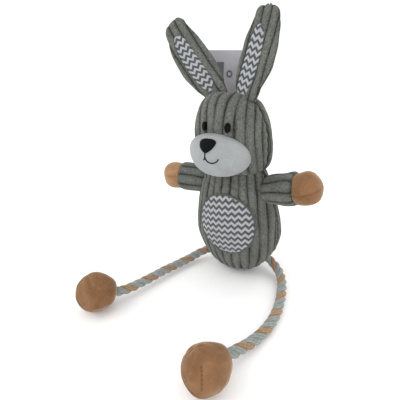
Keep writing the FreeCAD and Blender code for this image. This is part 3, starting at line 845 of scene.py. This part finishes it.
class Ear(Surface):
    """One ear in its own axes: x across, z along, the front towards -y. Its edges curl forwards."""

    WIDTHS = [(-9.0, 7.6), (-4.0, 9.0), (0.0, 9.8), (8.0, 11.3), (18.0, 12.3), (30.0, 12.2), (38.0, 11.5),
              (48.0, 9.9), (54.0, 8.3), (57.4, 6.2), (59.3, 3.8), (60.0, 0.3)]
    LINING_WIDE, LINING_TALL, LINING_SQUARE = 6.4, 25.6, 2.6
    CUP, THICK, AROUND, STEP = 2.4, 3.2, 170, 0.5

    def __init__(self, axes, bow, offset, lining_w, wide, long):
        self.axes, self.bow, self.offset, self.lining_w = axes, bow, offset, lining_w
        self.places, self.widths = (np.array(column, float) for column in zip(*self.WIDTHS))
        self.places = np.where(self.places > 0, self.places * long, self.places)
        self.widths = self.widths * wide

    def width(self, w):
        return np.maximum(curve_through(self.places, self.widths, np.clip(w, -9, self.places[-1])), 0.2)

    def half_thick(self, w):
        return self.THICK * clamp(self.width(w) / 8.0) ** 0.7

    def middle(self, x, w):
        cup = self.CUP * (1.15 - 0.5 * clamp(w / 60.0))
        return cup * (0.35 - (x / self.width(w)) ** 2)

    def bent(self, x, y, w):
        """Places on the ear, bowed sideways along its length."""
        aside = self.bow * np.sin(np.clip(w, 0, 70) * math.pi / 70)
        return placed(self.axes, np.stack([x + aside, y, w], -1))

    def at(self, x, w):
        """The front of the ear."""
        x, w = np.broadcast_arrays(np.asarray(x, float), np.asarray(w, float))
        swell = clamp(1 - np.abs(x / self.width(w)) ** 2.6) ** 0.5
        return self.bent(x, self.middle(x, w) - self.half_thick(w) * swell, w)

    def inside(self, x, w):
        """0 in the middle of the lining, 1 at its edge."""
        aside = np.abs((x - self.offset) / self.LINING_WIDE) ** self.LINING_SQUARE
        along = np.abs((w - self.lining_w) / self.LINING_TALL) ** self.LINING_SQUARE
        return (aside + along) ** (1 / self.LINING_SQUARE)

    def build(self, name, seed):
        run = running(np.hypot(np.diff(self.places), np.diff(self.widths)))
        rows = np.linspace(0, run[-1], int(run[-1] / self.STEP))[:-1]
        w = np.interp(rows, run, self.places)[:, None]
        a = self.width(w)
        angle = around_turn(self.AROUND)[None]
        x = a * rounded(np.cos(angle), 0.9)
        y = self.middle(x, w) + self.half_thick(w) * rounded(np.sin(angle), 0.8)
        local = np.stack([x, y, np.repeat(w, self.AROUND, 1)], -1)
        out = grid_normals(local)
        front = np.sin(angle) < 0
        rib = ridge(x / 6.7 + 0.5 + 0.04 * np.sin(w / 7 + seed))
        level = np.where(front, fade(self.inside(x, w), 0.9, 1.05), 1.0)
        edge = bell(np.abs(np.sin(angle)) * a, 1.5)
        size = clamp(a / 7.0)
        high = 1.15 + 0.9 * fade(w, 48, 57)
        height = high * (rib - 0.45) * level * size * (1 - 0.5 * edge) - 0.5 * edge * size
        height += 0.45 * lumps(local, 17.0, seed) - np.where(front, 1 - level, 0.0) * 0.9
        height += 0.3 * edge * np.sin(w * TAU / 4.2 + seed)
        # The colour's rib fact: darker in the grooves and along the ear's edge, as painted shade.
        rib_shade = clamp(rib * level + (1 - level) * 0.4) * (1 - 0.7 * edge)
        fab = on_cloth(x, w)
        local = local + out * height[..., None]
        bent = self.bent(local[..., 0], local[..., 1], local[..., 2])
        return dress(closed_grid(name, bent, {"rib": rib_shade, "fab": fab}), CORD)

    def lining(self, name):
        def rim(angle):
            power = 2 / self.LINING_SQUARE
            up = self.LINING_TALL * rounded(np.sin(angle), power)
            room = self.width(self.lining_w + up) - 0.7
            across = self.offset + self.LINING_WIDE * rounded(np.cos(angle), power)
            return np.stack([np.clip(across, -room, room) - self.offset, up], -1)
        return pad_on(name, self, rim, (self.offset, self.lining_w), 0.35, 0.35, SMALL_ZIGZAG, lift=-0.5,
                      around=200, slant=0.2)


EAR_AXES = {
    "left": aim((15.5, -25.0, 172.6), (6.0, 15.0, 57.0), (0.15, 1.0, 0.0)),
    "right": aim((-15.5, -25.0, 172.6), (-35.0, -5.0, 50.0), (-0.25, 1.0, 0.0)),
}
# For each ear: its bow, its lining's offset and middle, and how wide and long it is.
EAR_SHAPE = {"left": (2.6, -3.6, 18.5, 1.12, 0.945), "right": (-2.0, -1.8, 23.8, 1.1, 1.0)}
ears, linings = {}, {}
for number, side in enumerate(EAR_AXES):
    shape = Ear(EAR_AXES[side], *EAR_SHAPE[side])
    ears[side] = shape.build(side + "_ear_cover", 4 + number * 3)
    linings[side] = shape.lining(side + "_ear_lining_cloth")

ARM_AXES = {
    "left": aim((39.6, -15.6, 93.6), (39.0, -5.6, 10.5), (0.0, 1.0, 0.0)),
    "right": aim((-39.6, -16.2, 90.4), (-40.0, -7.4, 0.8), (0.0, 1.0, 0.0)),
}
SLEEVE = [(-27.0, 0.0), (-26.8, 7.0), (-25.0, 11.2), (-19.0, 12.3), (-13.0, 12.6), (-7.0, 12.9), (-2.5, 13.1),
          (-0.6, 12.7), (0.4, 11.4), (1.0, 8.0), (1.2, 0.0)]
PAW = [(-0.4, 0.0), (-0.3, 8.0), (0.1, 11.4), (1.2, 12.8), (4.5, 13.6), (9.0, 13.8), (13.0, 12.9), (15.8, 10.8),
       (17.6, 7.8), (18.6, 4.4), (18.9, 0.0)]
CUFF = {"left": 17.6, "right": 15.0}     # where the sleeve meets the paw
TIP = {"left": 18.9, "right": 19.6}      # how far the paw reaches past it
sleeves, paws = {}, {}


SLEEVE_ROOT = -12.0                      # how far the sleeve goes into the body
PHASE = {"left": 0.35, "right": 0.6}     # where its ribs fall
# The right paw takes the lighter copy of the velour: painted light.
PAW_PAINT = {"left": TAN, "right": TAN_PAINTED_LIGHT}


def cuff_held(points):
    """The paw's sewn edge."""
    return points[:, 2] < 19.5


for number, side in enumerate(ARM_AXES):
    sleeve = [(max(w + CUFF[side], SLEEVE_ROOT - (0.2 if r == 0 else 0)), r) for w, r in SLEEVE]
    paw = [(CUFF[side] + w * TIP[side] / PAW[-1][0], r) for w, r in PAW]
    sleeves[side] = turned(side + "_arm_sleeve_cover", ARM_AXES[side], sleeve, CORD, ribs=9,
                           seed=6 + number, phase=PHASE[side])
    paws[side] = turned(side + "_paw_cover", ARM_AXES[side], paw, PAW_PAINT[side], seed=9 + number,
                        held=cuff_held, lump=0.6, pinch=0.05, seams=(math.radians(100), math.radians(280)))

# ---- rope legs
ROUTES = {
    "left": [(20, 8.7, 14), (38.6, 2.6, 7.6), (50, -12, 5.2), (57.4, -33, 4.3), (61.8, -54, 4.3), (62, -73, 4.3),
             (58.4, -93, 5.4), (51.4, -114.4, 9.8), (49.0, -128.0, 14.0)],
    "right": [(-16, 8, 15), (-37.5, -11.5, 8.2), (-43, -28, 5.4), (-47.4, -47, 5.8), (-51.2, -64, 6.4),
              (-54, -82, 6.8), (-57.2, -96, 7.2), (-60, -108.4, 8.4), (-65.8, -119.4, 13.2)],
}
LAY = 23.0                                            # along the rope for one turn of a strand
STRAND_OUT, STRAND_DEEP, STRAND_WIDE = 2.3, 1.9, 2.12
STRAND_AROUND, YARNS = 30, 7


def along_route(points):
    """Points along the smooth curve that has the route's points as its control points."""
    data = bpy.data.curves.new("route", "CURVE")
    data.dimensions = "3D"
    spline = data.splines.new("NURBS")
    spline.points.add(len(points) - 1)
    for control, place in zip(spline.points, points):
        control.co = (*(n * MM for n in place), 1)
    spline.order_u = 3
    spline.use_endpoint_u = True
    spline.resolution_u = 40
    thing = linked("route", data)
    bpy.context.view_layer.update()
    found = evaluated_points(thing, MM)
    bpy.data.objects.remove(thing)
    bpy.data.curves.remove(data)
    return found


def even(line, step):
    """The line again with even steps, a multiple of three of them, and how far along each point is."""
    run = running(step_lengths(line))
    at = np.linspace(0, run[-1], int(round(run[-1] / step / 3)) * 3 + 1)
    return np.stack([np.interp(at, run, line[:, k]) for k in range(3)], -1), at


def carried(line):
    """Axes carried along a line without twist."""
    ahead = unit(np.gradient(line, axis=0))
    side = np.empty_like(line)
    side[0] = unit(np.cross(ahead[0], [0.0, 0.0, 1.0]))
    for i in range(1, len(line)):
        side[i] = unit(side[i - 1] - ahead[i] * (side[i - 1] @ ahead[i]))
    return side, np.cross(ahead, side)


def strand_rings(line, at, side, over, turn, seed):
    """One strand laid round the line, with its own yarns twisted the other way."""
    angle = TAU * at / LAY + turn
    away = side * np.cos(angle)[:, None] + over * np.sin(angle)[:, None]
    centre = line + away * STRAND_OUT
    ahead = unit(np.gradient(centre, axis=0))
    away = unit(away - ahead * (away * ahead).sum(-1, keepdims=True))
    across = np.cross(ahead, away)
    t = around_turn(STRAND_AROUND)
    yarn = ridge(t[None] * YARNS / TAU + at[:, None] / 7.5, 2.2)
    fat = 1 + 0.035 * np.sin(at / 3.1 + seed)[:, None] + 0.075 * (yarn - 0.5)
    ring = (away[:, None] * (np.cos(t)[None, :] * STRAND_DEEP * fat)[..., None]
            + across[:, None] * (np.sin(t)[None, :] * STRAND_WIDE * fat)[..., None])
    return centre[:, None] + ring, {"yarn": yarn, "fab": on_cloth(at[:, None], t[None])}


def end_rings(count):
    """Which of a strand's points are in its first or last ring, whose edges stay sharp."""
    hard = np.zeros(count, bool)
    hard[:STRAND_AROUND] = True
    hard[count - 2 - STRAND_AROUND:count - 2] = True
    return hard


ropes = []
for side, start in (("left", 0.4), ("right", 2.0)):
    line, at = even(along_route(ROUTES[side]), 0.45)
    across, over = carried(line)
    strands = [strand_rings(line, at, across, over, start + k * TAU / 3, k) for k in range(3)]
    third = (len(at) - 1) // 3
    for k, joint in enumerate(("hip", "knee", "ankle")):
        part = slice(k * third, (k + 1) * third + 1)
        parts = [rings_mesh(grid[part], {key: data[part] for key, data in facts.items()})
                 for grid, facts in strands]
        piece = together("%s_leg_rope_%s" % (side, joint), parts, [TAN_STRAND, GREY_STRAND, GREY_STRAND],
                         end_rings)
        ropes.append((side, joint, piece, line[part], at[part][-1] - at[part][0]))

# ---- feet
FOOT = [(-15.5, 0.2), (-15.9, 2.6), (-16.2, 4.0), (-15.6, 6.6), (-13.6, 9.6), (-10.0, 12.7), (-4.6, 15.2),
        (1.0, 15.9), (6.4, 15.2), (11.0, 12.9), (14.4, 9.4), (16.1, 5.4), (16.7, 0.0)]
FOOT_SLIM = {"left": 0.97, "right": 1.0}

# For each foot: the plane of its panel seam, a pinched place, and the plane and ends of the closing stitches.
FOOT_SEAM = {"left": (0.43, -0.20, 0.88), "right": (0.84, -0.03, 0.54)}
FOOT_PINCH = {"left": (-0.5, -0.2, 0.85), "right": (0.58, -0.55, 0.60)}
CLOSING = {"left": ((0.824, 0.566, 0.0), -3.2, (-0.44, 0.64, 0.628), -12.0, 1.2)}


STITCH = 2.3


def foot_held(side, axes):
    """The foot's panel seam, and its edge round the rope."""
    def held(points):
        on_seam = np.abs(points @ axes[1] @ unit(FOOT_SEAM[side])) < 1.4
        return on_seam | (points[:, 2] < -13.5)
    return held


def foot_shape(side, axes):
    """Adds the panel seam, the pinched place with its short folds, and the row of closing stitches."""
    def shape(local):
        spot = local @ axes[1]
        gap = np.abs(spot @ unit(FOOT_SEAM[side]))
        seam = bell(gap, 0.55)
        height = -0.75 * bell(gap, 0.9) + 0.3 * bell(gap - 2.2, 1.4)
        way = unit(FOOT_PINCH[side])
        aside = unit(spot) - way
        near = np.linalg.norm(aside, axis=-1)
        turn = np.arctan2(aside @ unit(np.cross(way, (0, 0, 1))), aside[..., 2])
        height -= 0.9 * bell(near, 0.22)
        height += 0.28 * np.exp(-((near - 0.3) / 0.28) ** 2) * np.cos(5 * turn + 1.0)
        if side in CLOSING:
            across, middle, up, low, high = CLOSING[side]
            run = spot @ np.array(up)
            line = bell(spot @ np.array(across) - middle, 0.55)
            line = line * (run > low) * (run < high) * (spot[..., 2] > -2)
            height -= 0.45 * line
            stitch = np.sin(run * TAU / STITCH) > 0
            seam = np.maximum(seam, line * (0.4 + 0.6 * stitch) * 2.3)
        return height, seam
    return shape


FOOT_AXES = {
    "left": aim((47.9, -134.6, 16.0), (-3.5, -20.2, 6.1), (0.0, 0.0, 1.0)),
    "right": aim((-69.0, -125.6, 16.0), (-9.0, -17.2, 7.5), (0.0, 0.0, 1.0)),
}
feet = {}
for number, side in enumerate(FOOT_AXES):
    profile = [(w, r * FOOT_SLIM[side]) for w, r in FOOT]
    feet[side] = turned(side + "_foot_cover", FOOT_AXES[side], profile, TAN, seed=12 + 4 * number, lump=0.7,
                        shape=foot_shape(side, FOOT_AXES[side]), around=180, step=0.5,
                        held=foot_held(side, FOOT_AXES[side]))

# ---- swing tag
TAG_CORNER, TAG_WIDE, TAG_HIGH, TAG_THICK = (-37.0, -4.7, 168.5), 42.0, 33.0, 0.6
TAG_ROUND, HOLE_IN, HOLE_RAD, HOLE_POINTS = 2.0, 5.5, 1.3, 28


def swing_tag():
    """A card with rounded corners and a punched hole, leaning a little to one side."""
    turn = Matrix.Rotation(math.radians(3.0), 4, "Y")
    right, top = TAG_WIDE - TAG_ROUND, TAG_HIGH - TAG_ROUND
    corners = [(right, TAG_ROUND, -90), (right, top, 0), (TAG_ROUND, top, 90), (TAG_ROUND, TAG_ROUND, 180)]

    def on_circle(x, z, radius, angle):
        return x + radius * math.cos(angle), z + radius * math.sin(angle)

    outline = [on_circle(x, z, TAG_ROUND, math.radians(start + k * 15))
               for x, z, start in corners for k in range(7)]
    hole = [on_circle(HOLE_IN, TAG_HIGH - HOLE_IN, HOLE_RAD, -k * TAU / HOLE_POINTS)
            for k in range(HOLE_POINTS)]
    flat = [Vector((x, z, 0)) for x, z in outline], [Vector((x, z, 0)) for x, z in hole]
    triangles = tessellate_polygon(flat)
    ring = outline + hole
    count = len(ring)
    points = [(x, y, z) for y in (0.0, TAG_THICK) for x, z in ring]
    faces = []
    for a, b, c in triangles:
        (ax, az), (bx, bz), (cx, cz) = ring[a], ring[b], ring[c]
        if (bx - ax) * (cz - az) - (bz - az) * (cx - ax) < 0:
            a, c = c, a
        faces += [(a, b, c), (c + count, b + count, a + count)]
    for first, size in ((0, len(outline)), (len(outline), len(hole))):
        for k in range(size):
            a, b = first + k, first + (k + 1) % size
            faces.append((b, a, a + count, b + count))
    mesh = bpy.data.meshes.new("swing_tag_card")
    mesh.from_pydata([Vector(TAG_CORNER) * MM + turn @ (Vector(p) * MM) for p in points], [], faces)
    layer = mesh.attributes.new("fab", "FLOAT_VECTOR", "POINT")
    layer.data.foreach_set("vector", np.array([(x, z, y) for x, y, z in points]).ravel())
    mesh.update()
    return dress(linked("swing_tag_card", mesh), CARD)


tag = swing_tag()

# ---- what each piece moves with and stands for
def place(piece, body, slot, *nodes, fill=None):
    if body is not None:
        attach(piece, body)
    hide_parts(*nodes)


def bend(piece):
    """Bakes a piece's place into its mesh."""
    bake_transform(piece)


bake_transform(body_cover)
place(body_cover, None, "corduroy_cover", "body_front_panel", "body_back_panel", "body_stuffing", fill=0.8)
place(belly, "body", "chevron_cotton", "belly_patch")
place(border, "body", "dark_thread", "belly_patch_stitching")
place(head_cover, "head", "corduroy_cover", "head_front_panel", "head_back_panel", "head_stuffing", fill=0.8)
place(muzzle, "head", "muzzle_velour", "muzzle_patch", "muzzle_stuffing", fill=0.7)
place(nose, "head", "black_satin_stitch", "nose")
place(eyes[0], "head", "black_satin_stitch", "left_eye")
place(eyes[1], "head", "black_satin_stitch", "right_eye")
place(mouth, "head", "dark_thread", "mouth_stitching")
for side in ("left", "right"):
    ear, arm = side + "_ear", side + "_arm"
    bend(ears[side])
    place(ears[side], None, "corduroy_cover", ear + "_front", ear + "_back", fill=0.5)
    bend(linings[side])
    place(linings[side], None, "chevron_cotton", ear + "_lining")
    bend(sleeves[side])
    place(sleeves[side], None, "corduroy_cover", arm + "_sleeve", arm + "_stuffing", fill=0.8)
    place(paws[side], arm, "tan_velour", side + "_paw_cap", fill=0.8)
    place(feet[side], side + "_foot", "tan_velour", side + "_foot_panel_near", side + "_foot_panel_far",
          side + "_foot_stuffing", fill=0.9)

# For each joint of a leg: the bodies it joins, its place in the route, and the rope's nodes on both sides.
CHAIN = {
    "hip": ("body", "_leg_upper", 1, ("_rope_root", "_rope_upper")),
    "knee": ("_leg_upper", "_leg_lower", 4, ("_rope_upper", "_rope_lower")),
    "ankle": ("_leg_lower", "_foot", 7, ("_rope_lower", "_rope_tail")),
}
for side, joint, piece, line, length in ropes:
    first, second, corner, nodes = CHAIN[joint]
    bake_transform(piece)
    place(piece, None, "cotton_rope", *(side + n for n in nodes))

place(tag, "tag", "tag_card", "hang_tag")
for node, paint in (("tag_loop", CLEAR), ("squeaker_shell", SQUEAK), ("squeaker_reed", SQUEAK)):
    dress(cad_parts[node], paint)


# ---- camera and light
EYE, AIM, ROLL, LENS = (0.12524, -0.24662, 0.18442), (-0.04883, -0.00076, 0.05964), -1.47, 27.79


def facing(where, towards):
    """A place and turn that look from one point towards another."""
    turn = (Vector(towards) - Vector(where)).to_track_quat("-Z", "Y").to_matrix().to_4x4()
    return Matrix.Translation(Vector(where)) @ turn


def camera():
    data = bpy.data.cameras.new("camera")
    data.sensor_width = 36.0
    data.lens = LENS
    data.clip_start = 0.01
    thing = linked("camera", data)
    thing.matrix_world = facing(EYE, AIM) @ Matrix.Rotation(math.radians(ROLL), 4, "Z")
    bpy.context.scene.camera = thing


def light(name, where, towards, size, power):
    data = bpy.data.lights.new(name, "AREA")
    data.size = size
    data.energy = power
    linked(name, data).matrix_world = facing(where, towards)


def stage():
    world = bpy.data.worlds.new("studio")
    bpy.context.scene.world = world
    world.use_nodes = True
    backdrop = world.node_tree.nodes["Background"].inputs
    backdrop["Color"].default_value = (1, 1, 1, 1)
    backdrop["Strength"].default_value = 1.08
    bpy.context.scene.view_settings.view_transform = "Standard"
    size, drop = 12.0, -0.0004
    mesh = bpy.data.meshes.new("floor")
    corners = [(-size, -size, drop), (size, -size, drop), (size, size, drop), (-size, size, drop)]
    mesh.from_pydata(corners, [], [(0, 1, 2, 3)])
    floor = linked("floor", mesh)
    dress(floor, Paint("floor", Roughness=0.8, Base_Color=(1, 1, 1, 1)).material)


camera()
stage()
light("key", (-0.6, -0.8, 0.9), (0, -0.03, 0.08), 0.9, 4.2)
light("fill", (0.75, -0.9, 0.22), (0, -0.03, 0.08), 0.9, 3.0)
light("back", (0.1, 0.9, 0.9), (0, -0.03, 0.1), 0.8, 3)
